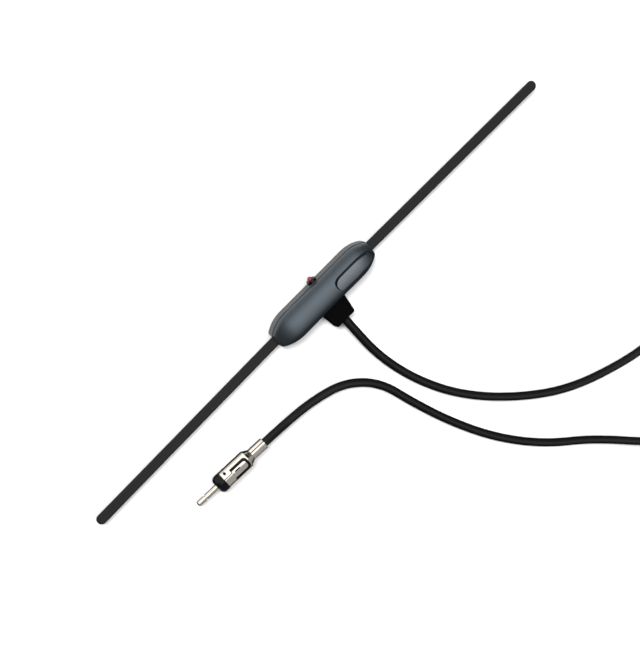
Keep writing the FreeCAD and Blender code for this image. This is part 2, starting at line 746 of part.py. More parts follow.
def make_lamp():
    bore = "(lamp_diameter / 2 + snug_clearance)"
    tail = "-(base_wall + bezel_tail)"
    bezel = turned_body("lamp_bezel", [
        (bore, tail), ("bezel_neck_diameter / 2", tail), ("bezel_neck_diameter / 2", "0"),
        ("bezel_diameter / 2", "0"), ("bezel_diameter / 2", "bezel_projection"),
        (bore, "bezel_projection")])
    front = number("bezel_projection")
    neck = number("bezel_neck_diameter")
    round_edges(bezel, "bezel_rounding",
                lambda edge: lies_at_height(edge, front) and box_of(edge).XLength > neck)
    lens = turned_body("lamp_lens", [
        ("0", f"-{LAMP_TAIL}"), ("lamp_flange_diameter / 2", f"-{LAMP_TAIL}"),
        ("lamp_flange_diameter / 2", tail), ("lamp_diameter / 2", tail),
        ("lamp_diameter / 2", "lamp_projection"), ("0", "lamp_projection")])
    tip = number("lamp_projection")
    round_edges(lens, "lamp_diameter / 2 - lamp_tip_flat", lambda edge: lies_at_height(edge, tip))
    for piece in (bezel, lens):
        keep(put(piece, "0", HALF_WIDTH, LAMP_LEVEL, ALONG_Y), piece.Name)
    leads = [primitive("Cylinder", f"lamp_lead_{side}", f"{sign}lamp_lead_spacing / 2",
                       f"{HALF_WIDTH} - {LAMP_TAIL}", LAMP_LEVEL, AGAINST_Y,
                       Radius="lamp_lead_diameter / 2", Height="lamp_lead_length") for side, sign, _ in SIDES]
    keep(group("lamp_leads", *leads), "lamp_leads")


# Circuit board and what stands on it


def make_board():
    body = new_body("circuit_board")
    outline = new_sketch(body, "board_outline", "XY_Plane", BOARD_UNDERSIDE)
    draw_hull(outline, "base_wall + board_side_gap", f"{HALF_LENGTH} - board_end_gap")
    add_feature(body, "Pad", outline, "board_thickness")
    holes = new_sketch(body, "board_holes", "XY_Plane", BOARD_TOP)
    for _, sign, _ in SIDES:
        draw_circle(holes, f"{sign}cover_screw_spacing / 2", "0", f"2 * {BOSS_HOLE}")
        draw_circle(holes, f"{sign}{ARM_SCREW_X}", "0", "arm_screw_diameter + 2 * snug_clearance")
    draw_square(holes, rectangle(f"-{NOTCH_HALF}", NOTCH_HALF, f"-{HALF_WIDTH}",
                                 f"-({BOARD_EDGE} - board_notch_depth)"))
    add_feature(body, "Pocket", holes, "board_thickness")
    keep(body, "circuit_board")


def make_capacitor():
    rim, groove = "capacitor_diameter / 2", "(capacitor_diameter / 2 - capacitor_groove)"
    low, high = "3 * capacitor_groove", "4 * capacitor_groove"
    body = turned_body("capacitor", [("0", "0"), (rim, "0"), (rim, low), (groove, low), (groove, high),
                                     (rim, high), (rim, "capacitor_height"), ("0", "capacitor_height")])
    x = f"-(cover_screw_spacing / 2 - {BOSS_HOLE} - part_gap - capacitor_diameter / 2)"
    keep(put(body, x, "0", BOARD_TOP), "capacitor")


def make_chokes():
    """A drum core and its winding for each arm, beside the inner end of its strip."""
    y = "strip_width / 2 + choke_strip_gap + choke_diameter / 2"
    rim, waist = "choke_diameter / 2", "choke_waist_diameter / 2"
    low, high = "choke_flange", "(choke_height - choke_flange)"
    cores, windings = [], []
    for side, sign, _ in SIDES:
        x = f"{sign}{CHOKE_X}"
        core = turned_body(f"choke_core_{side}", [
            ("0", "0"), (rim, "0"), (rim, low), (waist, low), (waist, high), (rim, high),
            (rim, "choke_height"), ("0", "choke_height")])
        outside, inside = f"({rim} - winding_gap)", f"({waist} + winding_gap)"
        bottom, top = f"({low} + winding_gap)", f"({high} - winding_gap)"
        winding = turned_body(f"choke_winding_{side}", [
            (inside, bottom), (outside, bottom), (outside, top), (inside, top)])
        cores.append(put(core, x, y, BOARD_TOP))
        windings.append(put(winding, x, y, BOARD_TOP))
    keep(group("choke_cores", *cores), "choke_cores")
    keep(group("choke_windings", *windings), "choke_windings")


def make_filter_can():
    body = new_body("filter_can")
    plan = new_sketch(body, "can_plan", "XY_Plane")
    half = "can_side / 2"
    draw_square(plan, rectangle(f"-{half}", half, f"-{half}", half, "can_rounding"))
    add_feature(body, "Pad", plan, "can_height")
    port = new_sketch(body, "can_port", "XY_Plane", "can_height")
    draw_circle(port, "0", "0", "can_port_diameter")
    add_feature(body, "Pocket", port, "can_port_depth")
    x = f"cover_screw_spacing / 2 - {BOSS_HOLE} - part_gap - can_side / 2"
    keep(put(body, x, "0", BOARD_TOP), "filter_can")


def make_transistors():
    """Two half-round transistor packages, flat side towards the cable."""
    pieces = []
    for side, sign, _ in SIDES:
        body = new_body(f"transistor_{side}")
        plan = new_sketch(body, f"transistor_plan_{side}", "XY_Plane")
        half = "transistor_width / 2"
        radius = "(transistor_depth * 0.6)"
        draw_square(plan, [(f"-{half}", "0"), (half, "0"), (half, "transistor_depth", radius),
                           (f"-{half}", "transistor_depth", radius)])
        add_feature(body, "Pad", plan, "transistor_height")
        x = f"{sign}({NOTCH_HALF} + part_gap + transistor_width / 2)"
        pieces.append(put(body, x, f"-({BOARD_EDGE} - board_rest_margin)", BOARD_TOP))
    keep(group("transistors", *pieces), "transistors")


def make_chips():
    """Chips beside each cover boss, and one across the strip from each choke."""
    pieces = []
    edge = f"({BOARD_EDGE} - part_gap - chip_width / 2)"
    for side, sign, _ in SIDES:
        places = (("cover_screw_spacing / 2", edge), ("cover_screw_spacing / 2", f"-{edge}"),
                  (CHOKE_X, f"-{edge}"))
        for place, (x, y) in enumerate(places):
            pieces.append(primitive("Box", f"chip_{side}_{place}", f"{sign}({x}) - chip_length / 2",
                                    f"{y} - chip_width / 2", BOARD_TOP, Length="chip_length",
                                    Width="chip_width", Height="chip_height"))
    keep(group("chip_parts", *pieces), "chip_parts")


# Cable boot and the cable's stripped end


def make_boot():
    body = new_body("cable_boot")
    bottom = f"({CABLE_LEVEL} - boot_height / 2)"
    end = f"({HALF_WIDTH} + boot_length)"
    block = new_sketch(body, "boot_block", "XY_Plane", bottom)
    draw_polygon(block, [("-boot_root_width / 2", f"-{HALF_WIDTH}"), ("-boot_end_width / 2", f"-{end}"),
                         ("boot_end_width / 2", f"-{end}"), ("boot_root_width / 2", f"-{HALF_WIDTH}")])
    add_feature(body, "Pad", block, "boot_height")
    outer_end = -number(end) + 1e-3
    round_edges(body, "boot_corner_rounding",
                lambda edge: is_upright(edge) and box_of(edge).YMax < outer_end)
    low, high = number(bottom), number(f"{bottom} + boot_height")
    wall_face = -number(HALF_WIDTH) - 1e-3
    round_edges(body, "boot_edge_rounding",
                lambda edge: (lies_at_height(edge, low) or lies_at_height(edge, high))
                and box_of(edge).YMin < wall_face)

    wall_inside = f"({HALF_WIDTH} - base_wall)"
    neck = new_sketch(body, "boot_neck", "XY_Plane", FLOOR_TOP)
    draw_square(neck, rectangle("-boot_neck_width / 2", "boot_neck_width / 2", f"-{HALF_WIDTH}",
                                f"-{wall_inside}"))
    add_feature(body, "Pad", neck, f"{COVER_EDGE} - fit_clearance - {FLOOR_TOP}")
    flange = new_sketch(body, "boot_flange", "XY_Plane", FLOOR_TOP)
    draw_square(flange, rectangle("-boot_flange_width / 2", "boot_flange_width / 2", f"-{wall_inside}",
                                  f"-({wall_inside} - boot_flange_thickness)"))
    add_feature(body, "Pad", flange, f"{RIM} - lip_height - fit_clearance - {FLOOR_TOP}")
    bore = new_sketch(body, "boot_bore", "XZ_Plane")
    draw_circle(bore, "0", CABLE_LEVEL, "cable_diameter + 2 * snug_clearance")
    add_feature(body, "Pocket", bore, f"2 * {end}", both_ways=True)
    keep(body, "cable_boot")


def make_cable_end():
    """The stripped end inside the housing: braid, core insulation and wire, from the jacket's end."""
    def ring(name, outer, inner, start, length):
        body = turned_body(name, [(inner, start), (outer, start), (outer, f"{start} + {length}"),
                                  (inner, f"{start} + {length}")])
        keep(put(body, "0", f"-{CABLE_IN}", CABLE_LEVEL, ALONG_Y), name)

    ring("cable_braid", "braid_diameter / 2", "core_diameter / 2", "0", "braid_length")
    ring("cable_core", "core_diameter / 2", "wire_diameter / 2", "0", "core_length")
    ring("cable_wire", "wire_diameter / 2", "0", "0", "wire_length")


# Plug, along its own Z axis from the tail's rear end to the pin's tip


PLUG_ROTATION = (FreeCAD.Rotation(V(0, 0, 1), PLUG_HEADING)
                 .multiply(FreeCAD.Rotation(V(0, 1, 0), 90))
                 .multiply(FreeCAD.Rotation(V(0, 0, 1), PLUG_ROLL)))


def put_plug(body):
    """Lays a plug piece on the floor, its pin along the heading and its window almost straight up."""
    put(body, str(PLUG_TAIL[0]), str(PLUG_TAIL[1]), PLUG_LEVEL, PLUG_ROTATION)
    keep(body, body.Name)


def make_plug_shell():
    shoulder = "(tail_length + shoulder_length)"
    barrel, sheet = "(barrel_diameter / 2)", "shell_sheet"
    body = turned_body("plug_shell", [
        (TAIL_BORE, "0"), (TAIL_RADIUS, "0"), (TAIL_RADIUS, "tail_length"), (barrel, shoulder),
        (barrel, SHELL_LENGTH), (f"{barrel} - {sheet}", SHELL_LENGTH), (f"{barrel} - {sheet}", shoulder),
        (TAIL_BORE, "tail_length")])
    half, slot = "(window_width / 2)", "window_slot"
    front = f"({SHELL_LENGTH} - window_start)"
    rear = f"({front} - window_length)"
    tongue, tongue_rear = f"({half} - {slot})", f"({rear} + {slot})"
    inner_corner = f"(window_corner - {slot} / 2)"
    window = new_sketch(body, "plug_window", "YZ_Plane")
    draw_square(window, [
        (f"-{half}", front), (f"-{half}", rear, "window_corner"), (half, rear, "window_corner"),
        (half, front), (tongue, front), (tongue, tongue_rear, inner_corner),
        (f"-{tongue}", tongue_rear, inner_corner), (f"-{tongue}", front)])
    add_feature(body, "Pocket", window, barrel)

    slit = new_sketch(body, "tongue_slit", "YZ_Plane")
    slit_front = f"({front} - tongue_slit_distance)"
    slit_rear = f"({slit_front} - tongue_slit_length)"
    draw_square(slit, rectangle("-tongue_slit_offset - tongue_slit_width / 2",
                                "-tongue_slit_offset + tongue_slit_width / 2", slit_rear, slit_front))
    add_feature(body, "Pocket", slit, barrel)

    # The front seam steps aside from the window's slot before it runs on to the shell's edge
    seam = new_sketch(body, "front_seam", "YZ_Plane")
    seam_far = "(-front_seam_offset + seam_width / 2)"
    draw_square(seam, [
        (f"-{half}", f"{front} - seam_width"), (seam_far, f"{front} - seam_width"), (seam_far, SHELL_LENGTH),
        (f"{seam_far} - seam_width", SHELL_LENGTH), (f"{seam_far} - seam_width", front), (f"-{half}", front)])
    add_feature(body, "Pocket", seam, barrel)

    tail_seam = new_sketch(body, "tail_seam", "YZ_Plane")
    draw_square(tail_seam, rectangle("-tail_seam_offset - seam_width / 2", "-tail_seam_offset + seam_width / 2",
                                     "0", "tail_length + shoulder_length / 2"))
    add_feature(body, "Pocket", tail_seam, barrel)

    punch = new_sketch(body, "punch_hole", "YZ_Plane")
    draw_circle(punch, "-punch_offset", f"{SHELL_LENGTH} - punch_distance", "punch_diameter")
    add_feature(body, "Pocket", punch, barrel)
    put_plug(body)


def make_plug_insulator():
    inside = "(barrel_diameter / 2 - shell_sheet - snug_clearance)"
    bore = "(pin_diameter / 2 + snug_clearance)"
    wire_bore = "(core_diameter / 2 + snug_clearance)"
    rear = f"({SHELL_LENGTH} - insulator_depth)"
    pin_rear = f"({SHELL_LENGTH} + insulator_nose - pin_root)"
    nose = f"({SHELL_LENGTH} + insulator_nose)"
    body = turned_body("plug_insulator", [
        (wire_bore, rear), (inside, rear), (inside, SHELL_LENGTH), ("barrel_diameter / 2", SHELL_LENGTH),
        ("barrel_diameter / 2", nose), (bore, nose), (bore, pin_rear), (wire_bore, pin_rear)])
    front = number(nose)
    wide = number("pin_diameter") * 1.5
    round_edges(body, "insulator_rounding",
                lambda edge: lies_at_height(edge, front) and box_of(edge).XLength > wide)
    put_plug(body)


def make_plug_pin():
    nose = f"({SHELL_LENGTH} + insulator_nose)"
    tip, rear = f"({nose} + pin_length)", f"({nose} - pin_root)"
    radius, waist, bore = "pin_diameter / 2", "(pin_diameter / 2 - pin_groove_depth)", "pin_bore / 2"
    groove_top = f"({tip} - pin_groove_distance)"
    groove_low = f"({groove_top} - pin_groove_width)"
    body = turned_body("plug_pin", [
        (bore, rear), (radius, rear), (radius, groove_low), (waist, groove_low), (waist, groove_top),
        (radius, groove_top), (radius, tip), (bore, tip)])
    top = number(tip)
    wide = number("pin_bore") * 1.5
    round_edges(body, "pin_nose_rounding",
                lambda edge: lies_at_height(edge, top) and box_of(edge).XLength > wide)
    put_plug(body)


def make_plug_core():
    """The cable's end in the plug: braid folded back over the jacket, core up to the pin, wire in its bore."""
    start = "tail_length"
    fold_inside = "(cable_diameter / 2 + snug_clearance)"
    fold_outside = f"({fold_inside} + braid_fold)"
    braid = turned_body("plug_braid", [(fold_inside, "0"), (fold_outside, "0"), (fold_outside, start),
                                       (fold_inside, start)])
    pin_rear = f"({SHELL_LENGTH} + insulator_nose - pin_root)"
    wire_end = f"({SHELL_LENGTH} + insulator_nose + pin_length - pin_nose_rounding)"
    core = turned_body("plug_core", [("wire_diameter / 2", start), ("core_diameter / 2", start),
                                     ("core_diameter / 2", pin_rear), ("wire_diameter / 2", pin_rear)])
    wire = turned_body("plug_wire", [("0", start), ("wire_diameter / 2", start),
                                     ("wire_diameter / 2", wire_end), ("0", wire_end)])
    for piece in (braid, core, wire):
        put_plug(piece)


# Cable: two free stretches, and the tied coil of its spare length between them


def direction(heading):
    return V(math.cos(math.radians(heading)), math.sin(math.radians(heading)), 0)


def coil_tangent(heading, side, level):
    """Where the outermost turn is tangent to a heading, with the coil on one side of it."""
    outer_turn = number("coil_mean_radius + (coil_across - cable_diameter) / 2")
    way = direction(heading)
    return V(*COIL_CENTRE, level) + V(-way.y, way.x, 0) * outer_turn * side


def smooth_path(points):
    """Straight runs joined by tangent arcs, each as large as its two runs allow."""
    edges, radii = [], []
    start = points[0]
    for before, corner, after in zip(points, points[1:], points[2:]):
        back, ahead = before - corner, after - corner
        reach = BEND_SHARE * min(back.Length, ahead.Length)
        half_turn = (math.pi - back.getAngle(ahead)) / 2
        radius = reach / math.tan(half_turn)
        back.normalize()
        ahead.normalize()
        inward = back + ahead
        inward.normalize()
        middle = corner + inward * (radius / math.cos(half_turn) - radius)
        edges.append(Part.LineSegment(start, corner + back * reach).toShape())
        edges.append(Part.Arc(corner + back * reach, middle, corner + ahead * reach).toShape())
        radii.append(radius)
        start = corner + ahead * reach
    edges.append(Part.LineSegment(start, points[-1]).toShape())
    return Part.Wire(edges), radii


def make_tube(name, points):
    path, radii = smooth_path(points)
    way = points[1] - points[0]
    section = Part.Wire(Part.makeCircle(number("cable_diameter / 2"), points[0], way))
    tube = doc.addObject("Part::Feature", name)
    tube.Shape = path.makePipeShell([section], True, False)
    expected = path.Length * math.pi * number("cable_diameter / 2") ** 2
    print(name, "length", round(path.Length, 1), "tightest bend", round(min(radii), 1),
          "volume ratio", round(tube.Shape.Volume / expected, 4))
    print("  radii", [round(radius) for radius in radii])
    keep(tube, name)


def make_cable():
    resting = number("cable_diameter / 2")
    upper = resting + number("cable_diameter")
    exit_level = number(CABLE_LEVEL)
    plug_level = number(PLUG_LEVEL)
    coil_in = coil_tangent(COIL_HEADING_IN, 1, resting) - direction(COIL_HEADING_IN) * number("coil_stub")
    coil_out = coil_tangent(COIL_HEADING_OUT, 1, upper) + direction(COIL_HEADING_OUT) * number("coil_stub")
    make_tube("cable_lead", [
        V(0, -number(CABLE_IN), exit_level),
        V(0, -28, exit_level),
        V(1, -53, resting),
        V(8.5, -81, resting),
        V(23, -109, resting),
        V(47, -136.5, resting),
        V(77, -160, resting),
        coil_in - direction(COIL_HEADING_IN) * 23,
        coil_in,
    ])
    tail = V(*PLUG_TAIL, plug_level)
    axis = direction(PLUG_HEADING)
    make_tube("cable_tail", [
        coil_out,
        coil_out + direction(COIL_HEADING_OUT) * 23,
        V(68, -196, resting),
        V(42, -173, resting),
        V(21.5, -145, resting),
        V(7.5, -116, resting),
        V(-2, -89, resting),
        V(-8.5, -65, resting),
        V(-23.5, -49, resting),
        V(-44, -42.5, resting),
        tail - axis * 15,
        tail + axis * number("tail_length"),
    ])


def make_coil():
    """The coil's outer shape, with the two stubs where the free stretches join it, and its tie."""
    half_across = "(coil_across / 2)"
    height = "(coil_layers * cable_diameter)"
    inner, outer = f"(coil_mean_radius - {half_across})", f"(coil_mean_radius + {half_across})"
    ring = turned_body("coil_ring", [(inner, "0"), (outer, "0"), (outer, height), (inner, height)])
    round_edges(ring, "coil_rounding", lambda edge: box_of(edge).XLength > 1)
    put(ring, str(COIL_CENTRE[0]), str(COIL_CENTRE[1]), "0")

    stubs = []
    for end, heading, way, level in (("in", COIL_HEADING_IN, -1, "cable_diameter / 2"),
                                     ("out", COIL_HEADING_OUT, 1, "cable_diameter * 1.5")):
        foot = coil_tangent(heading, 1, number(level))
        turn = FreeCAD.Rotation(V(0, 0, 1), direction(heading) * way)
        stubs.append(primitive("Cylinder", f"coil_stub_{end}", str(foot.x), str(foot.y), level, turn,
                               Radius="cable_diameter / 2", Height="coil_stub"))
    whole = join("coil_whole", ring, *stubs)

    turn = FreeCAD.Rotation(V(0, 0, 1), TIE_ANGLE)
    foot = V(*COIL_CENTRE, 0) + direction(TIE_ANGLE) * number("coil_mean_radius")

    def tie_box(name, half_length, low, total):
        corner = foot - direction(TIE_ANGLE) * number(half_length)
        corner -= direction(TIE_ANGLE + 90) * number("tie_width / 2")
        return primitive("Box", name, str(corner.x), str(corner.y), low, turn,
                         Length=f"2 * {half_length}", Width="tie_width", Height=total)

    outside = tie_box("tie_outside", f"({half_across} + tie_thickness)", "0", f"{height} + 2 * tie_thickness")
    inside = tie_box("tie_inside", half_across, "tie_thickness", height)
    band = take_away("tie_band", outside, inside)
    head_foot = foot + direction(TIE_ANGLE) * number(f"{half_across} + tie_thickness")
    head_corner = head_foot - direction(TIE_ANGLE + 90) * number("tie_head / 2")
    head = primitive("Box", "tie_head_block", str(head_corner.x), str(head_corner.y),
                     "cable_diameter / 2", turn, Length="tie_head * 0.7", Width="tie_head",
                     Height="tie_head")
    keep(join("coil_tie_solid", band, head), "coil_tie")
    keep(take_away("cable_coil_solid", whole, band), "cable_coil")


make_pad()
make_base()
make_cover()
for arm_side in SIDES:
    make_arm(*arm_side)
make_screws()
make_lamp()
make_board()
make_capacitor()
make_chokes()
make_filter_can()
make_transistors()
make_chips()
make_boot()
make_cable_end()
make_plug_shell()
make_plug_insulator()
make_plug_pin()
make_plug_core()
make_cable()
make_coil()
doc.recompute()

faults = [thing.Name for thing in doc.Objects if {"Invalid", "Error"} & set(thing.State)]
faults += [node.Label for node in nodes if node.Shape.isNull() or not node.Shape.isValid()]
if faults:
    raise ValueError(f"not built: {faults}")
os.makedirs("parts", exist_ok=True)
for node in nodes:
    node.Shape.exportStep(f"parts/{node.Label}.step")
    print(node.Label, len(node.Shape.Solids), round(node.Shape.Volume, 1))
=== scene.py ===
import math

import bpy
from mathutils import Matrix, Vector
from mathutils.bvhtree import BVHTree


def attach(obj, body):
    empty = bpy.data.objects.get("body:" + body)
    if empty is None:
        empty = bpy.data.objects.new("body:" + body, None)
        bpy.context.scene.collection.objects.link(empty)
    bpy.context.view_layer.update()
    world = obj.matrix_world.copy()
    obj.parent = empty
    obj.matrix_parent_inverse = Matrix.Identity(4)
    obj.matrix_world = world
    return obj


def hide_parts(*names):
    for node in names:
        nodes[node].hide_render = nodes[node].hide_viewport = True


# Car windshield radio antenna: cable, cover plate, materials, floor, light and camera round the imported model.
# The frame is the model's own: X along the arms, Z away from the glass, lengths in metres.

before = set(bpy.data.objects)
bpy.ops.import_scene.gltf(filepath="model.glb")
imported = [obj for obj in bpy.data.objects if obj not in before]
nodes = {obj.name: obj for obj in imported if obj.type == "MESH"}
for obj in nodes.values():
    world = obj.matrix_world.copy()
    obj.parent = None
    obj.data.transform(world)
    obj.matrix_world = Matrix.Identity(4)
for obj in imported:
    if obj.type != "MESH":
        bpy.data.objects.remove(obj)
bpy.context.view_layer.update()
MM = 0.001


# Cable: one spline from the housing through the tied coil to the plug, in millimetres

CABLE_DIAMETER = 5.0
RESTING = CABLE_DIAMETER / 2
BOOT_END = (0.0, -20.1, 5.05)
COIL_CENTRE = Vector((153.5, -219.5, 0.0))
COIL_HEADING_IN = -10.0
COIL_HEADING_OUT = 150.0
COIL_OUTER_TURN = 37.1
COIL_INNER_TURN = 20.1
COIL_STUB = 21.0
COIL_APPROACH = 23.0
COIL_TURNS_BEGUN = 7
POINTS_PER_TURN = 24
LAYER_CLIMB = 0.03
TIE_ANGLE = -30.0
TIE_REACH = 40.0
TIE_THICKNESS = 1.2
PLUG_TAIL = Vector((-80.8, -37.9, 5.4))
PLUG_HEADING = 177.2
PLUG_TAIL_LENGTH = 9.5
PLUG_APPROACH = 15.0


def direction(heading):
    """The level direction of a heading in degrees."""
    return Vector((math.cos(math.radians(heading)), math.sin(math.radians(heading)), 0.0))


def coil_turns():
    """Points of the turns, clockwise: inwards in the lower layer, then outwards in the upper one."""
    first = COIL_HEADING_IN + 90
    sweep = first - (COIL_HEADING_OUT + 90) + 360 * COIL_TURNS_BEGUN
    steps = round(sweep / 360 * POINTS_PER_TURN)
    turns = []
    for step in range(steps + 1):
        share = step / steps
        angle = first - sweep * share
        inwards = 1 - abs(2 * share - 1)
        radius = COIL_OUTER_TURN + (COIL_INNER_TURN - COIL_OUTER_TURN) * inwards
        climb = min(max((share - 0.5 + LAYER_CLIMB) / (2 * LAYER_CLIMB), 0), 1)
        climb = climb * climb * (3 - 2 * climb)
        from_tie = abs((angle - TIE_ANGLE + 180) % 360 - 180) / TIE_REACH
        lift = TIE_THICKNESS * (0.5 + 0.5 * math.cos(math.pi * min(from_tie, 1)))
        height = RESTING + CABLE_DIAMETER * climb + lift
        turns.append(COIL_CENTRE + direction(angle) * radius + Vector((0, 0, height)))
    return turns


def cable_route():
    """Points from inside the boot along the lead, round the coil's turns, and along the tail into the plug."""
    turns = coil_turns()
    way_in, way_out = direction(COIL_HEADING_IN), direction(COIL_HEADING_OUT)
    coil_in = turns[0] - way_in * COIL_STUB
    coil_out = turns[-1] + way_out * COIL_STUB
    plug_way = direction(PLUG_HEADING)
    lead = [
        (0, -5.4, BOOT_END[2]),
        (0, -28, BOOT_END[2]),
        (1, -53, RESTING),
        (8.5, -81, RESTING),
        (23, -109, RESTING),
        (47, -136.5, RESTING),
        (77, -160, RESTING),
        coil_in - way_in * COIL_APPROACH,
        coil_in,
    ]
    tail = [
        coil_out,
        coil_out + way_out * COIL_APPROACH,
        (68, -196, RESTING),
        (42, -173, RESTING),
        (21.5, -145, RESTING),
        (7.5, -116, RESTING),
        (-2, -89, RESTING),
        (-8.5, -65, RESTING),
        (-23.5, -49, RESTING),
        (-44, -42.5, RESTING),
        PLUG_TAIL - plug_way * PLUG_APPROACH,
        PLUG_TAIL + plug_way * PLUG_TAIL_LENGTH,
    ]
    return lead + turns + tail


def make_cable():
    route = cable_route()
    curve = bpy.data.curves.new("cable", "CURVE")
    curve.dimensions = "3D"
    curve.bevel_depth = CABLE_DIAMETER / 2 * MM
    curve.bevel_resolution = 6
    curve.resolution_u = 8
    curve.use_fill_caps = True
    spline = curve.splines.new("NURBS")
    spline.points.add(len(route) - 1)
    for point, place in zip(spline.points, route):
        point.co = (place[0] * MM, place[1] * MM, place[2] * MM, 1.0)
    spline.order_u = 3
    spline.use_endpoint_u = True
    cable = bpy.data.objects.new("cable", curve)
    bpy.context.collection.objects.link(cable)
    return cable


# Bare plate in the cover's recess, on a black film that paints shade into the gap round it, and a corner piece
# that rounds the recess's left end to the plate's form, in millimetres

# Each outline has its ends along x, its sides along y, and how far its corners' curves reach along and
# across, in the order left and right at the cable's side, then left and right at the lamp's side
PLATE_OUTLINE = ((6.85, 32.0), (-4.35, 2.6), ((3.1, 3.1), (8.0, 3.9), (4.9, 3.65), (1.2, 0.8)))
FILM_OUTLINE = ((6.5, 32.3), (-4.35, 2.68), ((3.4, 3.4), (8.0, 3.7), (5.0, 3.5), (1.2, 0.8)))
FILM_THICKNESS = 0.08
PLATE_EDGE_LEVEL = 13.72
PLATE_THINNEST = 0.06
PLATE_TILT = 0.4
PLATE_BULGE = 0.48
PLATE_RIM = 0.25
CROWN_FALL_START = 21.05
CROWN_FALL_LENGTH = 15.5
CROWN_FALL = 3.8
CROWN_FALL_POWER = 2.5
RECESS_WALL_SLOPE = math.tan(math.radians(40.0))
RECESS_START = 6.3
RECESS_SIDE = 5.1
RECESS_CORNER = (3.4, 3.4)
RECESS_WALL_TOP = 3.8
CORNER_ENDS = (RECESS_START, 11.5)
CORNER_THINNEST = 0.01
# The crown's height over the middle, and how it falls away with the square of the distance from there
CROWN_LEVEL = 14.53
CROWN_CURVE = 0.0478
INSERT_COLUMNS = 64
INSERT_ROWS = 24
INSERT_SHARP_ANGLE = 50.0
ABOVE_COVER = 20.0
RAY_SHIFT = 0.02

cover_surface = BVHTree.FromObject(nodes["housing_cover"], bpy.context.evaluated_depsgraph_get())


def bed_level(x, y):
    """The cover's level: the middle one from three close rays, in case one slips through a seam."""
    levels = []
    for shift in (-RAY_SHIFT, 0.0, RAY_SHIFT):
        start = Vector((x + shift, y + shift, ABOVE_COVER)) * MM
        place = cover_surface.ray_cast(start, Vector((0, 0, -1)))[0]
        levels.append(place.z / MM if place else 0.0)
    return sorted(levels)[1]


def draw_in(distance, corner):
    """How far a rounded corner draws in at a distance from its end, if its curve reaches along and across."""
    along, across = corner
    share = min(max(1 - distance / along, 0), 1)
    return across * (1 - math.sqrt(1 - share * share))


def crown_fall(x):
    """How far the crown and the recess's bed have fallen towards the housing's end."""
    return CROWN_FALL * (max(x - CROWN_FALL_START, 0) / CROWN_FALL_LENGTH) ** CROWN_FALL_POWER


def sides_at(x, outline):
    """An outline's two sides at x. The lamp's one draws in where the crown and the wall's foot fall."""
    ends, sides, (low_left, low_right, high_left, high_right) = outline
    left, right = x - ends[0], ends[1] - x
    low = sides[0] + draw_in(left, low_left) + draw_in(right, low_right)
    high = sides[1] - draw_in(left, high_left) - draw_in(right, high_right)
    return low, high - crown_fall(x) / RECESS_WALL_SLOPE


def film_sides(x):
    return sides_at(x, FILM_OUTLINE)


def plate_sides(x):
    return sides_at(x, PLATE_OUTLINE)


def corner_sides(x):
    """From the film's curved edge to the recess's own corner, or to the top of its sloped wall."""
    corner = RECESS_SIDE - draw_in(x - RECESS_START, RECESS_CORNER)
    return film_sides(x)[1], min(corner, RECESS_WALL_TOP)


def corner_level(x, y):
    """Flush with the crown, down to a slope that meets the film's edge."""
    foot = film_sides(x)[1]
    slope = bed_level(max(x, FILM_OUTLINE[0][0]), foot) + (y - foot) * RECESS_WALL_SLOPE
    return max(min(CROWN_LEVEL - CROWN_CURVE * y * y, slope), bed_level(x, y) + CORNER_THINNEST)


def film_level(x, y):
    return bed_level(x, y) + FILM_THICKNESS


def plate_level(x, y):
    """Convex across, rising to the lamp's side and falling with the crown at the end, with a rounded rim."""
    low, high = PLATE_OUTLINE[1]
    share = (y - low) / (high - low)
    across = PLATE_TILT * share + PLATE_BULGE * 4 * share * (1 - share)
    start, end = PLATE_OUTLINE[0]
    from_edge = min(plate_sides(x)[1] - y, x - start, end - x)
    rim = draw_in(from_edge, (PLATE_RIM, PLATE_RIM))
    level = PLATE_EDGE_LEVEL + across - crown_fall(x) - rim
    return max(level, film_level(x, y) + PLATE_THINNEST)


def eased(start, end, step, steps):
    """A place between start and end. The places lie closer towards both."""
    return start + (end - start) * (1 - math.cos(math.pi * step / steps)) / 2


def make_insert(name, ends, sides, bottom, top):
    """A closed piece between two ends, two sides and two levels."""
    lower, upper = [], []
    for column in range(INSERT_COLUMNS + 1):
        x = eased(*ends, column, INSERT_COLUMNS)
        low, high = sides(x)
        for row in range(INSERT_ROWS + 1):
            y = eased(low, high, row, INSERT_ROWS)
            lower.append(Vector((x, y, bottom(x, y))) * MM)
            upper.append(Vector((x, y, top(x, y))) * MM)

    stride = INSERT_ROWS + 1
    layer = len(lower)
    faces = []
    for column in range(INSERT_COLUMNS):
        for row in range(INSERT_ROWS):
            corner = column * stride + row
            quad = (corner, corner + stride, corner + stride + 1, corner + 1)
            faces.append(quad[::-1])
            faces.append([layer + index for index in quad])
    border = [column * stride for column in range(INSERT_COLUMNS)]
    border += range(INSERT_COLUMNS * stride, layer - 1)
    border += [column * stride + INSERT_ROWS for column in range(INSERT_COLUMNS, 0, -1)]
    border += range(INSERT_ROWS, 0, -1)
    for index, following in zip(border, border[1:] + border[:1]):
        faces.append((index, following, layer + following, layer + index))

    mesh = bpy.data.meshes.new(name)
    mesh.from_pydata(lower + upper, [], faces)
    mesh.shade_smooth()
    mesh.set_sharp_from_angle(angle=math.radians(INSERT_SHARP_ANGLE))
    piece = bpy.data.objects.new(name, mesh)
    bpy.context.collection.objects.link(piece)
    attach(piece, "root")
    return piece


# Materials: small procedural node trees, with pattern sizes from the real surfaces. The grain of moulded,
# plated and sintered faces is finer in reality, and is drawn as coarse as it needs to show

MATERIALS = {}
PLASTIC_IOR = 1.5
# The grain's noise takes the roughness from its lowest to its highest value between these
NOISE_LOW = 0.3
NOISE_HIGH = 0.7


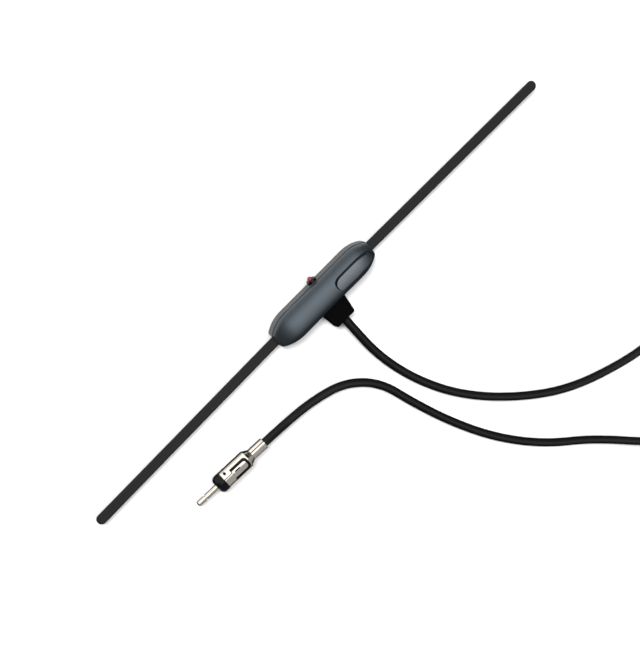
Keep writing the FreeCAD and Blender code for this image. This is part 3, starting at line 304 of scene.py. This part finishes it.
def linear(hex_colour):
    """An sRGB colour, such as 0x3A4044, as linear RGBA."""
    shares = [(hex_colour >> shift & 255) / 255 for shift in (16, 8, 0)]
    return [part / 12.92 if part <= 0.04045 else ((part + 0.055) / 1.055) ** 2.4 for part in shares] + [1.0]


def add(tree, kind, sockets, **settings):
    """One shader node. Each socket gets a value, or the output that feeds it."""
    node = tree.nodes.new(f"ShaderNode{kind}")
    for name, value in settings.items():
        setattr(node, name, value)
    for socket, value in sockets.items():
        if isinstance(value, bpy.types.NodeSocket):
            tree.links.new(value, node.inputs[socket])
        else:
            node.inputs[socket].default_value = value
    return node


def surface(name, low, high, cloud, grain, relief, roughness, stretch=(1, 1, 1), **constants):
    """Two close shades in soft clouds, and a fine grain that both lifts the surface and varies its shine.
    cloud, grain and relief are sizes in millimetres, roughness is its lowest and highest value, and a stretch
    below 1 draws the pattern out along that axis."""
    material = bpy.data.materials.new(name)
    material.use_nodes = True
    tree = material.node_tree
    shader = tree.nodes["Principled BSDF"]
    place = add(tree, "TexCoord", {}).outputs["Object"]
    along = add(tree, "Mapping", {"Vector": place, "Scale": stretch}).outputs["Vector"]
    clouds = add(tree, "TexNoise", {"Vector": along, "Scale": 1 / (cloud * MM), "Detail": 3.0})
    fine = add(tree, "TexNoise", {"Vector": along, "Scale": 1 / (grain * MM), "Detail": 2.0})
    shade = add(tree, "Mix", {0: clouds.outputs["Fac"], 6: linear(low), 7: linear(high)}, data_type="RGBA")
    shine = add(tree, "MapRange", {"Value": fine.outputs["Fac"], "From Min": NOISE_LOW, "From Max": NOISE_HIGH,
                                   "To Min": roughness[0], "To Max": roughness[1]})
    bump = add(tree, "Bump", {"Height": fine.outputs["Fac"], "Distance": relief * MM, "Strength": 1.0})
    tree.links.new(shade.outputs[2], shader.inputs["Base Color"])
    tree.links.new(shine.outputs["Result"], shader.inputs["Roughness"])
    tree.links.new(bump.outputs["Normal"], shader.inputs["Normal"])
    for socket, value in constants.items():
        shader.inputs[socket.replace("_", " ")].default_value = value
    MATERIALS[name] = material
    return material


# Satin bluish charcoal with a faint moulded grain, so the crown's highlight is broad and soft
surface("moulded satin ABS cover", 0x171A1D, 0x1B1E21, 14, 0.25, 0.003, (0.34, 0.42), IOR=PLASTIC_IOR,
        Specular_IOR_Level=0.9, Specular_Tint=linear(0xDFF1FF))
# The cover's plastic under a clear lacquer, so the plate shines a little more than the cover round it.
# Its colour is a shade lighter than the cover's: painted light
surface("lacquered ABS plate", 0x1B1E21, 0x1F2226, 14, 0.25, 0.002, (0.34, 0.42), IOR=PLASTIC_IOR,
        Specular_IOR_Level=0.9, Specular_Tint=linear(0xDFF1FF), Coat_Weight=0.8, Coat_Roughness=0.35)
# Matt black film under the plate: painted shade that makes the gap round the plate a dark line
surface("black film painting the gap's shade", 0x050505, 0x090909, 2, 0.3, 0.004, (0.7, 0.85), IOR=1.47,
        Specular_IOR_Level=0.1)
# Spark-eroded texture without the cover's blue, which keeps the base's wall dull below the shadow line
surface("spark-textured ABS base", 0x17191A, 0x1D1E1F, 10, 0.35, 0.01, (0.4, 0.52), IOR=PLASTIC_IOR,
        Specular_IOR_Level=0.8)
# Plain matt charcoal that hardly shines
surface("matt moulded arm sheath", 0x0D0D0D, 0x131313, 30, 0.3, 0.006, (0.5, 0.62), IOR=PLASTIC_IOR,
        Specular_IOR_Level=0.22)
# Near-black soft vinyl that swallows most light
surface("soft moulded vinyl boot", 0x030303, 0x050505, 6, 0.4, 0.008, (0.5, 0.65), IOR=1.48,
        Specular_IOR_Level=0.02)
# Extruded vinyl: a thin line of shine along the cable
surface("extruded vinyl jacket", 0x0B0B0B, 0x111111, 20, 0.8, 0.006, (0.36, 0.46), IOR=1.48,
        Specular_IOR_Level=0.15)
# Black plastic with a sharper shine round the lamp
surface("polished black bezel", 0x060606, 0x0A0A0B, 4, 0.5, 0.001, (0.2, 0.28), IOR=PLASTIC_IOR,
        Specular_IOR_Level=0.2)
# Dark red clear epoxy that lets some light into the lens
surface("tinted epoxy lens", 0x842C42, 0x94364E, 2, 0.8, 0.001, (0.05, 0.1), IOR=1.54,
        Transmission_Weight=0.3)
# Bright plated sheet with faint rolling marks along the shell
surface("nickel-plated rolled sheet", 0xB5AFA6, 0xC3BDB4, 5, 0.25, 0.003, (0.16, 0.28), (0.2, 1, 1),
        Metallic=1.0)
# The same plating on turned brass: warmer, and smoother than the sheet
surface("nickel-plated turned pin", 0xA8A296, 0xB6B0A4, 3, 0.2, 0.002, (0.14, 0.24), (1, 0.3, 0.3),
        Metallic=1.0)
# Bare braid that has gone brown where it is folded back in the plug
surface("tarnished copper braid", 0x2A1C14, 0x3A281C, 1, 0.3, 0.03, (0.5, 0.65), Metallic=1.0)
# Black moulded resin with a dull face
surface("moulded resin insulator", 0x040404, 0x080808, 4, 0.3, 0.004, (0.24, 0.34), IOR=1.55,
        Specular_IOR_Level=0.1)
# Black foam with open pores at its cut edge
surface("closed-cell foam tape", 0x0E0E0E, 0x1A1A1A, 2, 0.5, 0.12, (0.85, 0.95), IOR=1.45)
# Black nylon strap with a soft shine
surface("moulded nylon strap", 0x101011, 0x181819, 8, 0.4, 0.004, (0.4, 0.5), IOR=1.53)
# Rolled spring steel, with its rolling marks along the arm
surface("rolled spring steel", 0x8E8E8C, 0x9C9C99, 6, 0.2, 0.002, (0.3, 0.42), (0.1, 1, 1), Metallic=1.0)
# Zinc-plated screws with a cloudy, slightly warm skin
surface("zinc-plated steel", 0xA7A59C, 0xB8B6AE, 1.5, 0.15, 0.002, (0.28, 0.4), Metallic=1.0)
# Tinned sheet and leads: pale and slightly dull
surface("tinned steel", 0xB4B3AE, 0xC6C5C0, 3, 0.3, 0.002, (0.25, 0.38), Metallic=1.0)
# Bright copper under clear enamel, which also stands for the cable's own bare copper
surface("enamelled copper wire", 0xA65A32, 0xBE7144, 1, 0.2, 0.01, (0.25, 0.35), Metallic=1.0)
# Green lacquer over glass cloth, whose weave shows faintly
surface("lacquered glass-cloth board", 0x1A5A33, 0x23693D, 4, 0.4, 0.006, (0.3, 0.42), IOR=1.55)
# Dark blue shrink sleeve
surface("shrink-sleeved capacitor", 0x182346, 0x202C54, 3, 0.4, 0.002, (0.25, 0.35), IOR=PLASTIC_IOR)
# Grey-black sintered ferrite
surface("sintered ferrite", 0x2B2B2D, 0x3A3A3C, 1, 0.1, 0.01, (0.6, 0.75), IOR=1.6)
# White, slightly waxy core of the coaxial cable
surface("natural polyethylene core", 0xE2E2DC, 0xEDEDE8, 4, 0.4, 0.002, (0.4, 0.5), IOR=1.51)

PAINT = {
    "housing_cover": "moulded satin ABS cover",
    "housing_base": "spark-textured ABS base",
    "arm_sheath_right": "matt moulded arm sheath",
    "arm_sheath_left": "matt moulded arm sheath",
    "cable_boot": "soft moulded vinyl boot",
    "lamp_bezel": "polished black bezel",
    "lamp_lens": "tinted epoxy lens",
    "plug_shell": "nickel-plated rolled sheet",
    "plug_pin": "nickel-plated turned pin",
    "plug_insulator": "moulded resin insulator",
    "adhesive_pad": "closed-cell foam tape",
    "coil_tie": "moulded nylon strap",
    "arm_strip_right": "rolled spring steel",
    "arm_strip_left": "rolled spring steel",
    "arm_screws": "zinc-plated steel",
    "cover_screws": "zinc-plated steel",
    "lamp_leads": "tinned steel",
    "filter_can": "tinned steel",
    "choke_windings": "enamelled copper wire",
    "cable_braid": "enamelled copper wire",
    "cable_wire": "enamelled copper wire",
    "plug_wire": "enamelled copper wire",
    "plug_braid": "tarnished copper braid",
    "circuit_board": "lacquered glass-cloth board",
    "capacitor": "shrink-sleeved capacitor",
    "transistors": "moulded resin insulator",
    "chip_parts": "moulded resin insulator",
    "choke_cores": "sintered ferrite",
    "cable_core": "natural polyethylene core",
    "plug_core": "natural polyethylene core",
}


def paint(piece, name):
    piece.data.materials.clear()
    piece.data.materials.append(MATERIALS[name])


# Floor, light and camera, in metres

FLOOR_SIZE = 6.0
FLOOR_GAP = 0.05 * MM
# Cards placed for the plug's reflections: a grey one above it, a white one upright between it and the arm,
# and two white ones on the floor, which leave a dark strip beside it. Each has its middle, size, tilt about x
# and brightness
CARDS = (
    ((-0.105, -0.072, 0.02), (0.09, 0.076), 180.0, 0.62),
    ((-0.114, -0.012, 0.014), (0.072, 0.028), 90.0, 2.2),
    ((-0.11, -0.01225, 0.0), (0.08, 0.0245), 0.0, 1.15),
    ((-0.11, -0.0535, 0.0), (0.08, 0.033), 0.0, 1.15),
)
VIEW_TARGET = Vector((-0.01167, -0.01388, 0.0))
VIEW_LEAN_X = -9.5
VIEW_LEAN_Y = 22.0
VIEW_ROLL = 45.38
VIEW_DISTANCE = 0.7734
VIEW_LENS = 76.675
OVERHEAD_CENTRE = (0.0, 0.0, 1.0)
OVERHEAD_BRIGHTNESS = 3.3
OVERHEAD_POWER = 2.0
OVERHEAD_SHIFT = 0.16
OVERHEAD_SPREAD = 0.37
SIDE_CENTRE = (0.0, 0.866, 0.5)
SIDE_BRIGHTNESS = 1.1
LAMP_PLACE = (-0.12, 0.6, 0.85)
LAMP_ANGLE = 17.0
LAMP_ENERGY = 2.9


def make_sheet(name, middle, size, tilt, material):
    """A rectangle, level or tilted about x."""
    bpy.ops.mesh.primitive_plane_add(size=1, location=middle, rotation=(math.radians(tilt), 0, 0))
    sheet = bpy.context.object
    sheet.name = name
    sheet.scale = (*size, 1)
    sheet.data.materials.append(material)
    return sheet


def make_floor():
    """White paper in two halves. The cable's half leaves no reflection, so the cover is dark on that side."""
    paper = surface("white matt paper", 0xE4E4E4, 0xE6E6E6, 300, 3, 0.005, (0.85, 0.95))
    for side, reflects in ((1, True), (-1, False)):
        middle = (0, side * FLOOR_SIZE / 2, -FLOOR_GAP)
        half = make_sheet("floor", middle, (2 * FLOOR_SIZE, FLOOR_SIZE), 0.0, paper)
        half.visible_glossy = reflects


def make_cards():
    """Glowing sheets that only reflections see, and only from their front."""
    for middle, size, tilt, brightness in CARDS:
        material = bpy.data.materials.new("reflector card")
        material.use_nodes = True
        tree = material.node_tree
        glow = add(tree, "Emission", {"Strength": brightness}).outputs["Emission"]
        clear = add(tree, "BsdfTransparent", {}).outputs["BSDF"]
        behind = add(tree, "NewGeometry", {}).outputs["Backfacing"]
        one_sided = add(tree, "MixShader", {0: behind, 1: glow, 2: clear}).outputs["Shader"]
        tree.links.new(one_sided, tree.nodes["Material Output"].inputs["Surface"])
        card = make_sheet("card", middle, size, tilt, material)
        card.visible_camera = False
        card.visible_diffuse = False
        card.visible_transmission = False
        card.visible_shadow = False


def view_axes():
    """The camera's right, up and backward directions, with the roll of the picture."""
    back = Vector((math.tan(math.radians(VIEW_LEAN_X)), math.tan(math.radians(VIEW_LEAN_Y)), 1)).normalized()
    right = (Vector((1, 0, 0)) - back * back.x).normalized()
    up = back.cross(right)
    cosine, sine = math.cos(math.radians(VIEW_ROLL)), math.sin(math.radians(VIEW_ROLL))
    return right * cosine - up * sine, right * sine + up * cosine, back


def make_camera():
    right, up, back = view_axes()
    data = bpy.data.cameras.new("camera")
    data.lens = VIEW_LENS
    data.sensor_width = 36.0
    camera = bpy.data.objects.new("camera", data)
    turn = Matrix((right, up, back)).transposed().to_4x4()
    camera.matrix_world = Matrix.Translation(VIEW_TARGET + back * VIEW_DISTANCE) @ turn
    bpy.context.collection.objects.link(camera)
    bpy.context.scene.camera = camera


def make_lamp():
    """A distant soft lamp on the side of the pilot lamp, for the shadow beyond the cable's side."""
    data = bpy.data.lights.new("lamp", "SUN")
    data.energy = LAMP_ENERGY
    data.angle = math.radians(LAMP_ANGLE)
    lamp = bpy.data.objects.new("lamp", data)
    lamp.rotation_euler = Vector(LAMP_PLACE).to_track_quat("Z", "Y").to_euler()
    lamp.visible_glossy = False
    bpy.context.collection.objects.link(lamp)


def make_studio():
    """A sky with a bright band overhead and a broad glow on the pilot lamp's side, and a white backdrop."""
    world = bpy.data.worlds.new("studio")
    world.use_nodes = True
    tree = world.node_tree
    way = add(tree, "TexCoord", {}).outputs["Generated"]

    # The band: the share of the light that is left away from its middle along x
    sideways = add(tree, "SeparateXYZ", {"Vector": way}).outputs["X"]
    shifted = add(tree, "Math", {0: sideways, 1: OVERHEAD_SHIFT}, operation="SUBTRACT").outputs[0]
    share = add(tree, "Math", {0: shifted, 1: OVERHEAD_SPREAD}, operation="DIVIDE").outputs[0]
    squared = add(tree, "Math", {0: share, 1: share}, operation="MULTIPLY").outputs[0]
    fading = add(tree, "Math", {0: squared, 1: -1.0}, operation="MULTIPLY").outputs[0]
    band = add(tree, "Math", {0: fading}, operation="EXPONENT").outputs[0]

    # The light from above and from the side, in the band
    upwards = add(tree, "VectorMath", {0: way, 1: OVERHEAD_CENTRE}, operation="DOT_PRODUCT").outputs["Value"]
    above = add(tree, "Math", {0: upwards, 1: 0.0}, operation="MAXIMUM").outputs[0]
    gathered = add(tree, "Math", {0: above, 1: OVERHEAD_POWER}, operation="POWER").outputs[0]
    overhead = add(tree, "Math", {0: gathered, 1: OVERHEAD_BRIGHTNESS}, operation="MULTIPLY").outputs[0]
    sidewards = add(tree, "VectorMath", {0: way, 1: SIDE_CENTRE}, operation="DOT_PRODUCT").outputs["Value"]
    beside = add(tree, "Math", {0: sidewards, 1: 0.0}, operation="MAXIMUM").outputs[0]
    glow = add(tree, "Math", {0: beside, 1: SIDE_BRIGHTNESS}, operation="MULTIPLY").outputs[0]
    both = add(tree, "Math", {0: overhead, 1: glow}, operation="ADD").outputs[0]
    strength = add(tree, "Math", {0: both, 1: band}, operation="MULTIPLY").outputs[0]

    # The backdrop that the camera sees is white
    seen = add(tree, "LightPath", {}).outputs["Is Camera Ray"]
    backdrop = add(tree, "Math", {0: strength, 1: seen}, operation="MAXIMUM").outputs[0]
    tree.nodes["Background"].inputs["Color"].default_value = linear(0xFFFFFF)
    tree.links.new(backdrop, tree.nodes["Background"].inputs["Strength"])
    bpy.context.scene.world = world
    bpy.context.scene.view_settings.view_transform = "Standard"


cable = make_cable()
paint(cable, "extruded vinyl jacket")
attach(cable, "root")
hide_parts("cable_lead", "cable_coil", "cable_tail")
# Black film under the plate: painted shade for the gap round it
film = make_insert("plate_shade_film", FILM_OUTLINE[0], film_sides, bed_level, film_level)
paint(film, "black film painting the gap's shade")
plate = make_insert("cover_plate", PLATE_OUTLINE[0], plate_sides, film_level, plate_level)
paint(plate, "lacquered ABS plate")
corner = make_insert("recess_corner", CORNER_ENDS, corner_sides, bed_level, corner_level)
paint(corner, "moulded satin ABS cover")
for node_name, material_name in PAINT.items():
    paint(nodes[node_name], material_name)
make_floor()
make_cards()
make_camera()
make_lamp()
make_studio()
